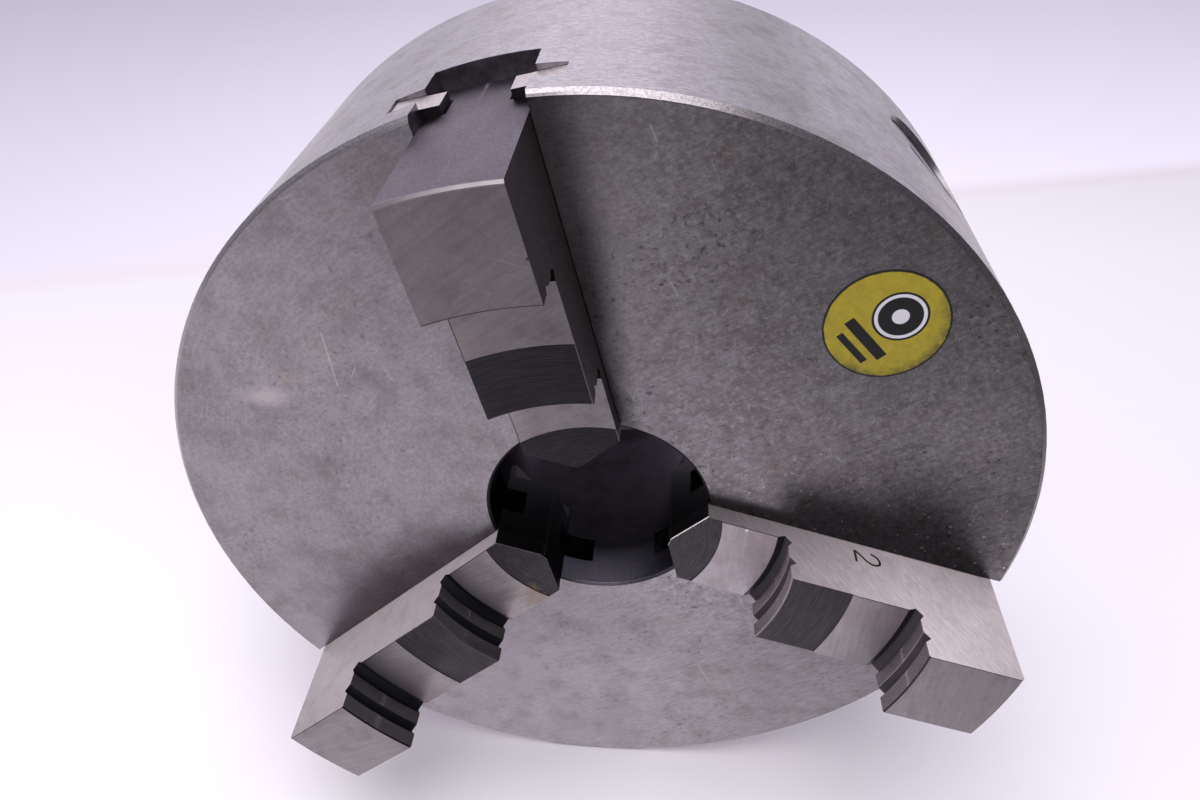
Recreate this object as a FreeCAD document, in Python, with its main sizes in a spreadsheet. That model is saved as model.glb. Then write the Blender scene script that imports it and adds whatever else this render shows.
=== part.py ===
import FreeCAD, Part
import math
import os
import re
import Sketcher

# Three-jaw self-centring lathe chuck, 200 mm body, with two-step outside jaws.
# Frame: origin at the centre of the rear mounting plane, +Y along the spindle axis
# towards the machine (the jaws face -Y), +Z up. Depths are measured back from the face.

DIMENSIONS = {
    "body_radius": 100, "body_depth": 75, "front_chamfer": 1.1, "rear_chamfer": 1,
    "bore_radius": 26, "bore_chamfer": 0.6, "hub_radius": 43, "web_thickness": 20,
    "cavity_radius": 77.5, "register_radius": 80, "register_depth": 5, "register_chamfer": 0.3,
    "cover_radius": 79, "cover_thickness": 8, "cover_gap": 0.05,
    # jaw slots and the hardened guide strips let into their sides
    "slot_half_width": 11, "slot_depth": 24.4, "groove_front": 7.5, "groove_back": 15,
    "groove_half_width": 17.3, "strip_inner_edge": 6.9, "strip_start": 28.5, "strip_end": 98,
    # fasteners
    "mounting_circle_radius": 88, "mounting_hole_radius": 4.25, "mounting_hole_depth": 22,
    "retainer_radius": 4, "retainer_point_radius": 2.3, "retainer_point_length": 6,
    "retainer_sink": 1, "retainer_hex_radius": 2.3, "retainer_hex_depth": 4,
    "cover_screw_circle_radius": 34.5, "cover_screw_radius": 3, "cover_screw_head_radius": 6,
    "cover_screw_length": 17, "cover_screw_hex_radius": 2.3, "cover_screw_hex_depth": 2.2,
    "screw_gap": 0.05, "countersink_gap": 0.1, "countersink_taper": 45, "screw_chamfer": 0.5,
    # pinions: bevel gears on the radial axis, with a square key socket in the outer end
    "pinion_depth": 46, "pinion_radius": 14, "pinion_gap": 0.05, "pinion_teeth": 12,
    "pinion_tip_radius": 14, "pinion_root_radius": 9.4, "pinion_root_half_space": 0.8,
    "pinion_tip_half_space": 3.05, "gear_outer_radius": 66, "gear_inner_radius": 54,
    "pin_radius": 5, "pin_start": 37, "pin_hole_start": 36, "pinion_end": 98.5,
    "pinion_chamfer": 1, "socket_side": 10, "socket_depth": 15, "entry_chamfer": 0.7,
    "entry_taper": 30, "bearing_start": 71,
    "ring_groove_radius": 11.6, "ring_groove_half_width": 2.6,
    # scroll
    "scroll_radius": 77, "scroll_bore_gap": 0.08, "scroll_front": 20.1, "scroll_pitch": 8,
    "ridge_thickness": 4, "ridge_inner_radius": 47, "ridge_outer_radius": 74.2,
    "scroll_plate_back": 31, "scroll_teeth": 66,
    "scroll_tip_half_width": 0.64, "scroll_root_half_width": 2.28,
    "scroll_tip_depth": 36, "scroll_root_depth": 31.5,
    # jaws: heights are measured forward from the chuck's face
    "jaw_half_width": 10.85, "waist_half_width": 6.2, "flange_half_width": 10.9,
    "jaw_gap": 0.1, "jaw_end_radius": 96.45, "jaw_end_chamfer": 0.5, "nose_radius": 17.9,
    "nose_half_width": 1.05, "first_seat_height": 4.7, "riser_height": 12.15,
    "first_land_radius": 44.2, "second_land_radius": 74.1, "seat_relief": 0.2,
    "land_chamfer": 0.3,
    "first_seat_start": 29, "second_seat_start": 58.5,
    "tooth_thickness": 3.8, "tooth_tip_depth": 24.1, "first_tooth_radius": 23,
    "tooth_outer_flank": 42, "tooth_inner_flank": 82, "tooth_zone_start": 20,
    "tooth_zone_end": 95, "tooth_mean_radius": 61,
    # badge
    "badge_radius": 12.5, "badge_thickness": 0.6, "badge_recess": 0.5, "badge_circle_radius": 79,
    # how far a cut runs past the material: through a wall, and over a jaw's top
    "overshoot": 1, "overrun": 5, "clear_of_jaw": 40,
}

JAW_ONE_ANGLE = -14          # clockwise from +Z, seen from the front
JAW_COUNT = 3
COVER_SCREW_COUNT = 6
TOOTH_GAPS = 12              # cuts along one jaw, from before its nose to past its end
SPIRAL_STEPS = 24            # points on the spiral for each turn
SIN_60 = math.sin(math.radians(60))
TAN_30 = math.tan(math.radians(30))
# a riser from its seat up, as (out from the land, up from the seat): undercut, land, groove, land
RISER_PROFILE = ((-2.2, 0), (-0.45, -0.85), (1.05, 0.85), (0, 2.2), (0, 5.5), (1.5, 7.0), (0, 8.3))

doc = FreeCAD.newDocument("lathe_chuck")
sheet = doc.addObject("Spreadsheet::Sheet", "dims")
for row, (alias, number) in enumerate(DIMENSIONS.items(), start=1):
    sheet.set(f"A{row}", alias)
    sheet.set(f"B{row}", str(number))
    sheet.setAlias(f"B{row}", alias)
doc.recompute()


def expression(words):
    """Turn alias words into references to the sheet's cells."""
    return re.sub(r"[a-z][a-z_]*", lambda found: "dims." + found.group(), words)


def bind(item, name, words):
    item.setExpression(name, expression(words))


def turn(angle):
    """The placement that turns a sub-part clockwise about +Y, seen from the front."""
    return FreeCAD.Placement(FreeCAD.Vector(), FreeCAD.Rotation(FreeCAD.Vector(0, 1, 0), angle))


def shift(across, along, up):
    return FreeCAD.Placement(FreeCAD.Vector(across, along, up), FreeCAD.Rotation())


def add_body(label):
    body = doc.addObject("PartDesign::Body", label)
    body.Label = label
    return body


def origin_feature(body, role):
    return next(item for item in body.Origin.OriginFeatures if item.Role == role)


def add_sketch(body, name, role, offset=None):
    """A sketch on one of the body's origin planes, moved along its normal by an expression."""
    sketch = body.newObject("Sketcher::SketchObject", name)
    sketch.AttachmentSupport = [(origin_feature(body, role), "")]
    sketch.MapMode = "FlatFace"
    if offset is not None:
        bind(sketch, ".AttachmentOffset.Base.z", offset)
    return sketch


def constrain(sketch, words, kind, *where, start=1.0):
    """Add a dimension whose value comes from the sheet; start is its value until then."""
    index = sketch.addConstraint(Sketcher.Constraint(kind, *where, start))
    sketch.setExpression(f"Constraints[{index}]", expression(words))


def fix_point(sketch, geometry, point, across, along, start=(1.0, 1.0)):
    constrain(sketch, across, "DistanceX", -1, 1, geometry, point, start=start[0])
    constrain(sketch, along, "DistanceY", -1, 1, geometry, point, start=start[1])


def outline(sketch, corners):
    """A closed outline of straight lines; each corner is a pair of expressions."""
    first = sketch.GeometryCount
    count = len(corners)
    ring = [FreeCAD.Vector(math.cos(2 * math.pi * i / count), math.sin(2 * math.pi * i / count), 0)
            for i in range(count)]
    for i in range(count):
        sketch.addGeometry(Part.LineSegment(ring[i], ring[(i + 1) % count]), False)
    for i, (across, along) in enumerate(corners):
        following = first + (i + 1) % count
        sketch.addConstraint(Sketcher.Constraint("Coincident", first + i, 2, following, 1))
        fix_point(sketch, first + i, 1, across, along)


def circle(sketch, across, along, radius):
    index = sketch.addGeometry(Part.Circle(FreeCAD.Vector(), FreeCAD.Vector(0, 0, 1), 1), False)
    constrain(sketch, radius, "Radius", index)
    fix_point(sketch, index, 3, across, along)


def revolve(body, name, sketch, axis, angle="360"):
    feature = body.newObject("PartDesign::Revolution", name)
    feature.Profile = sketch
    feature.ReferenceAxis = (sketch, [axis])
    bind(feature, "Angle", angle)
    return feature


def pocket(body, name, sketch, length, along_normal=False, taper=None):
    """Cut the sketch into the body, against its normal unless along_normal is set."""
    feature = body.newObject("PartDesign::Pocket", name)
    feature.Profile = sketch
    feature.Reversed = along_normal
    bind(feature, "Length", length)
    if taper is not None:
        bind(feature, "TaperAngle", taper)
    return feature


def polar_pattern(body, name, originals, role, count):
    pattern = body.newObject("PartDesign::PolarPattern", name)
    pattern.Originals = originals
    pattern.Axis = (origin_feature(body, role), [""])
    pattern.Angle = 360
    bind(pattern, "Occurrences", count)
    body.Tip = pattern
    return pattern


def hexagon(sketch, radius):
    """A regular hexagon about the sketch's origin, for a hexagon socket."""
    half = radius + " * 0.5"
    tall = f"{radius} * {SIN_60}"
    outline(sketch, [(radius, "0"), (half, tall), ("-" + half, tall),
                     ("-" + radius, "0"), ("-" + half, "-" + tall), (half, "-" + tall)])


# ---------------------------------------------------------------- chuck body
def make_chuck_body():
    """One turned body: front web, hub and outer wall, slotted for the jaws."""
    body = add_body("chuck_body")
    section = add_sketch(body, "body_section", "YZ_Plane")
    cover_seat = "-register_depth - cover_thickness"
    outline(section, [
        ("-body_depth", "bore_radius + bore_chamfer"),
        ("-body_depth", "body_radius - front_chamfer"),
        ("-body_depth + front_chamfer", "body_radius"),
        ("-rear_chamfer", "body_radius"),
        ("0", "body_radius - rear_chamfer"),
        ("0", "register_radius + register_chamfer"),
        ("-register_chamfer", "register_radius"),
        ("-register_depth", "register_radius"),
        ("-register_depth", "cover_radius"),
        (cover_seat, "cover_radius"),
        (cover_seat, "cavity_radius"),
        ("-body_depth + web_thickness", "cavity_radius"),
        ("-body_depth + web_thickness", "hub_radius"),
        (cover_seat, "hub_radius"),
        (cover_seat, "bore_radius"),
        ("-body_depth + bore_chamfer", "bore_radius"),
    ])
    revolve(body, "body_turning", section, "H_Axis")

    slot = add_sketch(body, "slot_section", "XY_Plane")
    mouth, groove = "slot_half_width", "groove_half_width"
    right_side = [
        (mouth, "-body_depth - overshoot"),
        (mouth, "-body_depth + groove_front"),
        (groove, "-body_depth + groove_front"),
        (groove, "-body_depth + groove_back"),
        (mouth, "-body_depth + groove_back"),
        (mouth, "-body_depth + slot_depth"),
    ]
    left_side = [("-" + across, along) for across, along in reversed(right_side)]
    outline(slot, right_side + left_side)
    slot_cut = pocket(body, "jaw_slot", slot, "body_radius + overrun", along_normal=True)

    axis_depth = "-body_depth + pinion_depth"
    bearing = add_sketch(body, "pinion_bearing_circle", "XY_Plane", "-bearing_start")
    circle(bearing, "0", axis_depth, "pinion_radius + pinion_gap")
    bearing_cut = pocket(body, "pinion_bearing", bearing, "body_radius + overrun - bearing_start")
    entry = add_sketch(body, "pinion_entry_circle", "XY_Plane", "-body_radius + 2 * entry_chamfer")
    circle(entry, "0", axis_depth, "pinion_radius + pinion_gap")
    entry_cut = pocket(body, "pinion_entry", entry, "2 * entry_chamfer + overshoot",
                       taper="entry_taper")
    pin = add_sketch(body, "pin_hole_circle", "XY_Plane", "-pin_hole_start")
    circle(pin, "0", axis_depth, "pin_radius + pinion_gap")
    pin_cut = pocket(body, "pin_hole", pin, "hub_radius - pin_hole_start + overshoot")

    mounting = add_sketch(body, "mounting_hole_circle", "XZ_Plane")
    circle(mounting, "0", "mounting_circle_radius", "mounting_hole_radius")
    mounting_cut = pocket(body, "mounting_hole", mounting, "mounting_hole_depth", along_normal=True)
    retainer = add_sketch(body, "retainer_hole_circle", "XZ_Plane")
    circle(retainer, "0", "-mounting_circle_radius", "retainer_radius + screw_gap")
    retainer_cut = pocket(body, "retainer_hole", retainer, "body_depth - pinion_depth",
                          along_normal=True)
    polar_pattern(body, "threefold", [slot_cut, bearing_cut, entry_cut, pin_cut, mounting_cut,
                                      retainer_cut], "Y_Axis", str(JAW_COUNT))

    hub_hole = add_sketch(body, "cover_screw_hole_circle", "XZ_Plane",
                          "register_depth + cover_thickness")
    circle(hub_hole, "0", "cover_screw_circle_radius", "cover_screw_radius + screw_gap")
    hub_cut = pocket(body, "cover_screw_hole", hub_hole,
                     "cover_screw_length - cover_thickness + overshoot", along_normal=True)
    polar_pattern(body, "cover_screw_holes", [hub_cut], "Y_Axis", str(COVER_SCREW_COUNT))

    seat = add_sketch(body, "badge_seat_circle", "XZ_Plane", "body_depth")
    circle(seat, f"badge_circle_radius * {SIN_60}", "badge_circle_radius * 0.5",
           "badge_radius + cover_gap")
    body.Tip = pocket(body, "badge_seat", seat, "badge_recess")
    body.Placement = turn(JAW_ONE_ANGLE)
    return body


# ---------------------------------------------------------------- back cover and screws
def make_back_cover():
    """The plate that closes the gear space; its rear face is the floor of the register."""
    body = add_body("back_cover")
    section = add_sketch(body, "cover_section", "YZ_Plane")
    front, rear = "-register_depth - cover_thickness", "-register_depth"
    outline(section, [
        (front, "bore_radius"),
        (front, "cover_radius - cover_gap"),
        (rear, "cover_radius - cover_gap"),
        (rear, "bore_radius + bore_chamfer"),
        (rear + " - bore_chamfer", "bore_radius"),
    ])
    revolve(body, "cover_turning", section, "H_Axis")
    hole = add_sketch(body, "screw_hole_circle", "XZ_Plane", "register_depth")
    circle(hole, "0", "cover_screw_circle_radius", "cover_screw_radius + 2 * countersink_gap")
    through = pocket(body, "screw_hole", hole, "cover_thickness + overshoot", along_normal=True)
    cone = add_sketch(body, "countersink_circle", "XZ_Plane", "register_depth")
    circle(cone, "0", "cover_screw_circle_radius", "cover_screw_head_radius + countersink_gap")
    sink = pocket(body, "countersink", cone,
                  "cover_screw_head_radius - cover_screw_radius - countersink_gap",
                  along_normal=True, taper="-countersink_taper")
    polar_pattern(body, "screw_holes", [through, sink], "Y_Axis", str(COVER_SCREW_COUNT))
    body.Placement = turn(JAW_ONE_ANGLE)
    return body


def make_cover_screw(index):
    """A countersunk socket screw that holds the cover to the hub."""
    body = add_body(f"cover_screw_{index + 1}")
    section = add_sketch(body, "screw_section", "YZ_Plane")
    rear = "-register_depth"
    cone_end = rear + " - cover_screw_head_radius + cover_screw_radius"
    outline(section, [
        (rear, "0"),
        (rear, "cover_screw_head_radius"),
        (cone_end, "cover_screw_radius"),
        (rear + " - cover_screw_length + screw_chamfer", "cover_screw_radius"),
        (rear + " - cover_screw_length", "cover_screw_radius - screw_chamfer"),
        (rear + " - cover_screw_length", "0"),
    ])
    revolve(body, "screw_turning", section, "H_Axis")
    socket = add_sketch(body, "socket_outline", "XZ_Plane", "register_depth")
    hexagon(socket, "cover_screw_hex_radius")
    body.Tip = pocket(body, "socket", socket, "cover_screw_hex_depth", along_normal=True)
    angle = JAW_ONE_ANGLE + index * 360 / COVER_SCREW_COUNT
    body.Placement = turn(angle) * shift(0, 0, sheet.cover_screw_circle_radius)
    return body


def make_retaining_screw(index):
    """A dog-point screw whose point runs in the pinion's ring groove and keeps it in."""
    body = add_body(f"pinion_retaining_screw_{index + 1}")
    section = add_sketch(body, "screw_section", "YZ_Plane")
    tip = "-body_depth + pinion_depth + ring_groove_radius + jaw_gap"
    shoulder = tip + " + retainer_point_length"
    outline(section, [
        ("-retainer_sink", "0"),
        ("-retainer_sink", "retainer_radius"),
        (shoulder, "retainer_radius"),
        (shoulder, "retainer_point_radius"),
        (tip, "retainer_point_radius"),
        (tip, "0"),
    ])
    revolve(body, "screw_turning", section, "H_Axis")
    socket = add_sketch(body, "socket_outline", "XZ_Plane", "retainer_sink")
    hexagon(socket, "retainer_hex_radius")
    body.Tip = pocket(body, "socket", socket, "retainer_hex_depth", along_normal=True)
    angle = JAW_ONE_ANGLE + 180 + index * 360 / JAW_COUNT
    body.Placement = turn(angle) * shift(0, 0, sheet.mounting_circle_radius)
    return body


# ---------------------------------------------------------------- pinions
def make_pinion(index):
    """Bevel pinion on a radial axis: its cone's apex is on the chuck's axis."""
    body = add_body(f"pinion_{index + 1}")
    section = add_sketch(body, "pinion_section", "YZ_Plane")
    inner_tip = "pinion_tip_radius * gear_inner_radius / gear_outer_radius"
    groove_at, groove_half = "mounting_circle_radius", "ring_groove_half_width"
    outline(section, [
        ("0", "pin_start"),
        ("pin_radius - screw_chamfer", "pin_start"),
        ("pin_radius", "pin_start + screw_chamfer"),
        ("pin_radius", "gear_inner_radius"),
        (inner_tip, "gear_inner_radius"),
        ("pinion_tip_radius", "gear_outer_radius"),
        ("pinion_radius", groove_at + " - " + groove_half),
        ("ring_groove_radius", groove_at + " - " + groove_half),
        ("ring_groove_radius", groove_at + " + " + groove_half),
        ("pinion_radius", groove_at + " + " + groove_half),
        ("pinion_radius", "pinion_end - pinion_chamfer"),
        ("pinion_radius - pinion_chamfer", "pinion_end"),
        ("0", "pinion_end"),
    ])
    revolve(body, "pinion_turning", section, "V_Axis")

    space = []
    for name, station in (("small_end", "gear_inner_radius - overshoot"),
                          ("large_end", "gear_outer_radius")):
        profile = add_sketch(body, name, "XY_Plane", station)
        scale = f" * ({station}) / gear_outer_radius"
        bottom, top = "-pinion_root_radius" + scale, "-1.02 * pinion_tip_radius" + scale
        narrow, wide = "pinion_root_half_space" + scale, "pinion_tip_half_space" + scale
        outline(profile, [(narrow, bottom), (wide, top), ("-" + wide, top), ("-" + narrow, bottom)])
        space.append(profile)
    tooth_space = body.newObject("PartDesign::SubtractiveLoft", "tooth_space")
    tooth_space.Profile = space[0]
    tooth_space.Sections = [space[1]]
    tooth_space.Ruled = True
    polar_pattern(body, "tooth_spaces", [tooth_space], "Z_Axis", "pinion_teeth")

    socket = add_sketch(body, "socket_outline", "XY_Plane", "pinion_end")
    half = "socket_side * 0.5"
    outline(socket, [(half, half), ("-" + half, half), ("-" + half, "-" + half), (half, "-" + half)])
    body.Tip = pocket(body, "key_socket", socket, "socket_depth")
    angle = JAW_ONE_ANGLE + 60 + index * 360 / JAW_COUNT
    body.Placement = turn(angle) * shift(0, sheet.pinion_depth - sheet.body_depth, 0)
    return body


# ---------------------------------------------------------------- scroll
def spiral_wall(start_turn, end_turn, radius_at_zero, depth):
    """One wall of the ridge: an Archimedean spiral that opens anticlockwise from the front."""
    steps = int((end_turn - start_turn) * SPIRAL_STEPS)
    points = []
    for step in range(steps + 1):
        turns = start_turn + (end_turn - start_turn) * step / steps
        radius = radius_at_zero + sheet.scroll_pitch * turns
        angle = 2 * math.pi * turns
        points.append(FreeCAD.Vector(-radius * math.sin(angle), depth, radius * math.cos(angle)))
    curve = Part.BSplineCurve()
    curve.interpolate(points)
    return curve.toShape()


def make_spiral_ridge():
    """The scroll's thread, which the teeth on the backs of the jaws run in."""
    ridge_at_jaw_one = sheet.first_tooth_radius + sheet.scroll_pitch / 2
    start_turn = (sheet.ridge_inner_radius - ridge_at_jaw_one) / sheet.scroll_pitch
    end_turn = (sheet.ridge_outer_radius - ridge_at_jaw_one) / sheet.scroll_pitch
    depth = sheet.scroll_front - sheet.body_depth
    half = sheet.ridge_thickness / 2
    inner = spiral_wall(start_turn, end_turn, ridge_at_jaw_one - half, depth)
    outer = spiral_wall(start_turn, end_turn, ridge_at_jaw_one + half, depth)
    ends = [Part.makeLine(inner.Vertexes[i].Point, outer.Vertexes[i].Point) for i in (0, -1)]
    face = Part.Face(Part.Wire([inner, ends[1], outer, ends[0]]))
    return face.extrude(FreeCAD.Vector(0, sheet.slot_depth + sheet.overshoot - sheet.scroll_front, 0))


def tooth_ring_corners(radius):
    """The corners of the bevel teeth at one radius, every edge aimed at the cone's apex."""
    scale = radius / sheet.gear_outer_radius
    tip_angle = sheet.scroll_tip_half_width / sheet.gear_outer_radius
    root_angle = sheet.scroll_root_half_width / sheet.gear_outer_radius
    apex = sheet.pinion_depth
    tip = apex - (apex - sheet.scroll_tip_depth) * scale - sheet.body_depth
    root = apex - (apex - sheet.scroll_root_depth) * scale - sheet.body_depth
    corners = []
    for tooth in range(int(sheet.scroll_teeth)):
        centre = 2 * math.pi * tooth / sheet.scroll_teeth
        for angle, depth in ((-root_angle, root), (-tip_angle, tip), (tip_angle, tip),
                             (root_angle, root)):
            corners.append(FreeCAD.Vector(radius * math.sin(centre + angle), depth,
                                          radius * math.cos(centre + angle)))
    return corners


def make_bevel_teeth():
    """The ring of bevel teeth on the back of the plate, as one closed solid of flat faces."""
    outer = tooth_ring_corners(sheet.gear_outer_radius)
    inner = tooth_ring_corners(sheet.gear_inner_radius)
    base = sheet.scroll_plate_back - sheet.body_depth - sheet.overshoot
    outer_base = [FreeCAD.Vector(p.x, base, p.z) for p in outer]
    inner_base = [FreeCAD.Vector(p.x, base, p.z) for p in inner]
    rings = [outer_base, outer, inner, inner_base, outer_base]
    count = len(outer)
    faces = []
    for near, far in zip(rings, rings[1:]):
        for i in range(count):
            j = (i + 1) % count
            faces.append(Part.Face(Part.makePolygon([near[i], near[j], far[j], far[i], near[i]])))
    shell = Part.makeShell(faces)
    shell.sewShape()
    return Part.makeSolid(shell)


def make_scroll_plate():
    """Spiral ridge in front, bevel teeth behind, turning on the body's hub."""
    axis = FreeCAD.Vector(0, 1, 0)
    start = FreeCAD.Vector(0, sheet.slot_depth - sheet.body_depth, 0)
    thickness = sheet.scroll_plate_back - sheet.slot_depth
    plate = Part.makeCylinder(sheet.scroll_radius, thickness, start, axis)
    plate = plate.fuse([make_spiral_ridge(), make_bevel_teeth()])
    bore_radius = sheet.hub_radius + sheet.scroll_bore_gap
    bore = Part.makeCylinder(bore_radius, sheet.body_depth, FreeCAD.Vector(0, -sheet.body_depth, 0),
                             axis)
    scroll = doc.addObject("Part::Feature", "scroll_plate")
    scroll.Shape = plate.cut(bore)
    scroll.Placement = turn(JAW_ONE_ANGLE)
    return scroll


# ---------------------------------------------------------------- jaws
def riser(land, seat):
    """The corners of the gripping face at this radius, above the seat at this height."""
    return [(f"-body_depth - ({seat}) - ({up})", f"{land} + ({out})") for out, up in RISER_PROFILE]


def make_jaw(index):
    """A two-step outside jaw, turned about the chuck's axis and then cut to its section."""
    body = add_body(f"jaw_{index + 1}")
    section = add_sketch(body, "step_section", "YZ_Plane")
    first, second = "first_seat_height", "first_seat_height + riser_height"
    top = "first_seat_height + 2 * riser_height"
    back = "-body_depth + tooth_tip_depth"
    corners = [(back, "nose_radius"),
               (f"-body_depth - {first} + seat_relief", "nose_radius"),
               (f"-body_depth - {first} + seat_relief", "first_seat_start"),
               (f"-body_depth - {first}", "first_seat_start")]
    corners += riser("first_land_radius", first)
    corners += [(f"-body_depth - ({second}) + seat_relief + land_chamfer", "first_land_radius"),
                (f"-body_depth - ({second}) + seat_relief", "first_land_radius + land_chamfer"),
                (f"-body_depth - ({second}) + seat_relief", "second_seat_start"),
                (f"-body_depth - ({second})", "second_seat_start")]
    corners += riser("second_land_radius", second)
    corners += [(f"-body_depth - ({top}) + land_chamfer", "second_land_radius"),
                (f"-body_depth - ({top})", "second_land_radius + land_chamfer"),
                (f"-body_depth - ({top})", "jaw_end_radius - jaw_end_chamfer"),
                (f"-body_depth - ({top}) + jaw_end_chamfer", "jaw_end_radius"),
                (back, "jaw_end_radius")]
    outline(section, corners)
    steps = revolve(body, "step_turning", section, "H_Axis", "100")
    steps.Midplane = True

    sides = add_sketch(body, "jaw_sides", "XY_Plane")
    waist_front, waist_back = "groove_front - jaw_gap", "groove_back + jaw_gap"
    right_side = [
        ("jaw_half_width", "-body_depth - clear_of_jaw"),
        ("jaw_half_width", "-body_depth + " + waist_front),
        ("waist_half_width", "-body_depth + " + waist_front),
        ("waist_half_width", "-body_depth + " + waist_back),
        ("flange_half_width", "-body_depth + " + waist_back),
        ("flange_half_width", back + " + overshoot"),
    ]
    left_side = [("-" + across, along) for across, along in reversed(right_side)]
    outline(sides, right_side + left_side)
    far, over = "body_radius", "-body_depth - clear_of_jaw - overrun"
    outline(sides, [(far, over), (far, "0"), ("-" + far, "0"), ("-" + far, over)])
    pocket(body, "side_cut", sides, "body_radius + overrun", along_normal=True)

    nose = add_sketch(body, "nose_flats", "XZ_Plane", "body_depth + clear_of_jaw")
    edge, below = "(flange_half_width + overshoot)", "nose_radius - flange_half_width"
    reach = f"({edge} - nose_half_width) * {TAN_30}"
    for sign in ("", "-"):
        outline(nose, [(sign + "nose_half_width", "nose_radius"),
                       (sign + edge, "nose_radius + " + reach),
                       (sign + edge, below),
                       (sign + "nose_half_width", below)])
    pocket(body, "nose_cut", nose, "body_depth + clear_of_jaw")

    cut_depth = "tooth_tip_depth - web_thickness + jaw_gap + overshoot"
    plane = "body_depth - web_thickness + jaw_gap"
    zone = add_sketch(body, "tooth_zone_ends", "XZ_Plane", plane)
    for low, high in (("0", "tooth_zone_start"), ("tooth_zone_end", "body_radius")):
        outline(zone, [("-slot_half_width", low), ("slot_half_width", low),
                       ("slot_half_width", high), ("-slot_half_width", high)])
    pocket(body, "tooth_zone", zone, cut_depth)

    gap = add_sketch(body, "tooth_gap", "XZ_Plane", plane)
    tooth_gap_outline(gap, index)
    gap_cut = pocket(body, "tooth_gap_cut", gap, cut_depth)
    pattern = body.newObject("PartDesign::LinearPattern", "tooth_gaps")
    pattern.Originals = [gap_cut]
    pattern.Direction = (gap, ["V_Axis"])
    bind(pattern, "Length", f"scroll_pitch * {TOOTH_GAPS - 1}")
    pattern.Occurrences = TOOTH_GAPS
    body.Tip = pattern
    body.Placement = turn(JAW_ONE_ANGLE + index * 360 / JAW_COUNT)
    return body


def tooth_gap_outline(sketch, index):
    """The space between two teeth: crescent flanks that clear the spiral over the whole travel."""
    pitch, half = sheet.scroll_pitch, sheet.tooth_thickness / 2
    first = sheet.first_tooth_radius - (2 + index / JAW_COUNT) * pitch
    slope = pitch / (2 * math.pi * sheet.tooth_mean_radius)
    side = sheet.slot_half_width + sheet.overshoot
    tooth = f"first_tooth_radius - (2 + {index} / {JAW_COUNT}) * scroll_pitch"
    flanks = (("tooth_outer_flank", sheet.tooth_outer_flank, first + half,
               f"{tooth} + tooth_thickness / 2"),
              ("tooth_inner_flank", sheet.tooth_inner_flank, first + pitch - half,
               f"{tooth} + scroll_pitch - tooth_thickness / 2"))
    arcs, ends = [], []
    for alias, radius, crest, crest_words in flanks:
        centre = FreeCAD.Vector(-slope * radius, crest - radius, 0)
        angles = [math.acos((x - centre.x) / radius) for x in (side, -side)]
        base = Part.Circle(centre, FreeCAD.Vector(0, 0, 1), radius)
        arc = sketch.addGeometry(Part.ArcOfCircle(base, *angles), False)
        ends.append([base.value(angle) for angle in angles])
        constrain(sketch, alias, "Radius", arc, start=radius)
        tilt = f"-{alias} * scroll_pitch / ({math.tau} * tooth_mean_radius)"
        fix_point(sketch, arc, 3, tilt, f"{crest_words} - {alias}", (centre.x, centre.y))
        constrain(sketch, "slot_half_width + overshoot", "DistanceX", -1, 1, arc, 1, start=side)
        constrain(sketch, "-slot_half_width - overshoot", "DistanceX", -1, 1, arc, 2, start=-side)
        arcs.append(arc)
    for point in (1, 2):
        corners = (ends[0][point - 1], ends[1][point - 1])
        line = sketch.addGeometry(Part.LineSegment(*corners), False)
        sketch.addConstraint(Sketcher.Constraint("Coincident", line, 1, arcs[0], point))
        sketch.addConstraint(Sketcher.Constraint("Coincident", line, 2, arcs[1], point))


# ---------------------------------------------------------------- guide strips and badge
def make_guide_strip(jaw, side):
    """A hardened strip let into one side of a jaw slot; the jaw's waist slides along it."""
    strip = doc.addObject("Part::Box", f"guide_strip_{jaw + 1}_{side}")
    strip.Label = strip.Name
    bind(strip, "Length", "groove_half_width - strip_inner_edge")
    bind(strip, "Width", "groove_back - groove_front")
    bind(strip, "Height", "strip_end - strip_start")
    across = sheet.strip_inner_edge if side == "right" else -sheet.groove_half_width
    corner = shift(across, sheet.groove_front - sheet.body_depth, sheet.strip_start)
    strip.Placement = turn(JAW_ONE_ANGLE + jaw * 360 / JAW_COUNT) * corner
    return strip


def make_badge():
    """The round plate let into the face between jaws 1 and 2."""
    badge = doc.addObject("Part::Cylinder", "badge_plate")
    badge.Label = "badge_plate"
    bind(badge, "Radius", "badge_radius")
    bind(badge, "Height", "badge_thickness")
    lay_flat = FreeCAD.Placement(
        FreeCAD.Vector(0, sheet.badge_recess - sheet.body_depth, sheet.badge_circle_radius),
        FreeCAD.Rotation(FreeCAD.Vector(1, 0, 0), 90))
    badge.Placement = turn(JAW_ONE_ANGLE + 60) * lay_flat
    return badge


nodes = [make_chuck_body(), make_back_cover(), make_scroll_plate(), make_badge()]
nodes += [make_cover_screw(i) for i in range(COVER_SCREW_COUNT)]
for i in range(JAW_COUNT):
    nodes += [make_retaining_screw(i), make_pinion(i), make_jaw(i)]
    nodes += [make_guide_strip(i, side) for side in ("left", "right")]
doc.recompute()

failed = [item.Label for item in doc.Objects if {"Invalid", "Error"} & set(item.State)]
if failed:
    raise RuntimeError("these objects failed: " + ", ".join(failed))
os.makedirs("parts", exist_ok=True)
for node in nodes:
    shape = node.Shape
    if shape.isNull() or not shape.isValid():
        raise RuntimeError(node.Label + " has no valid shape")
    shape.exportStep(f"parts/{node.Label}.step")
    print(f"{node.Label}: {len(shape.Solids)} solid, {shape.Volume / 1000:.2f} cm3")
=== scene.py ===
import math

import bpy
from mathutils import Euler, Matrix, Vector


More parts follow.
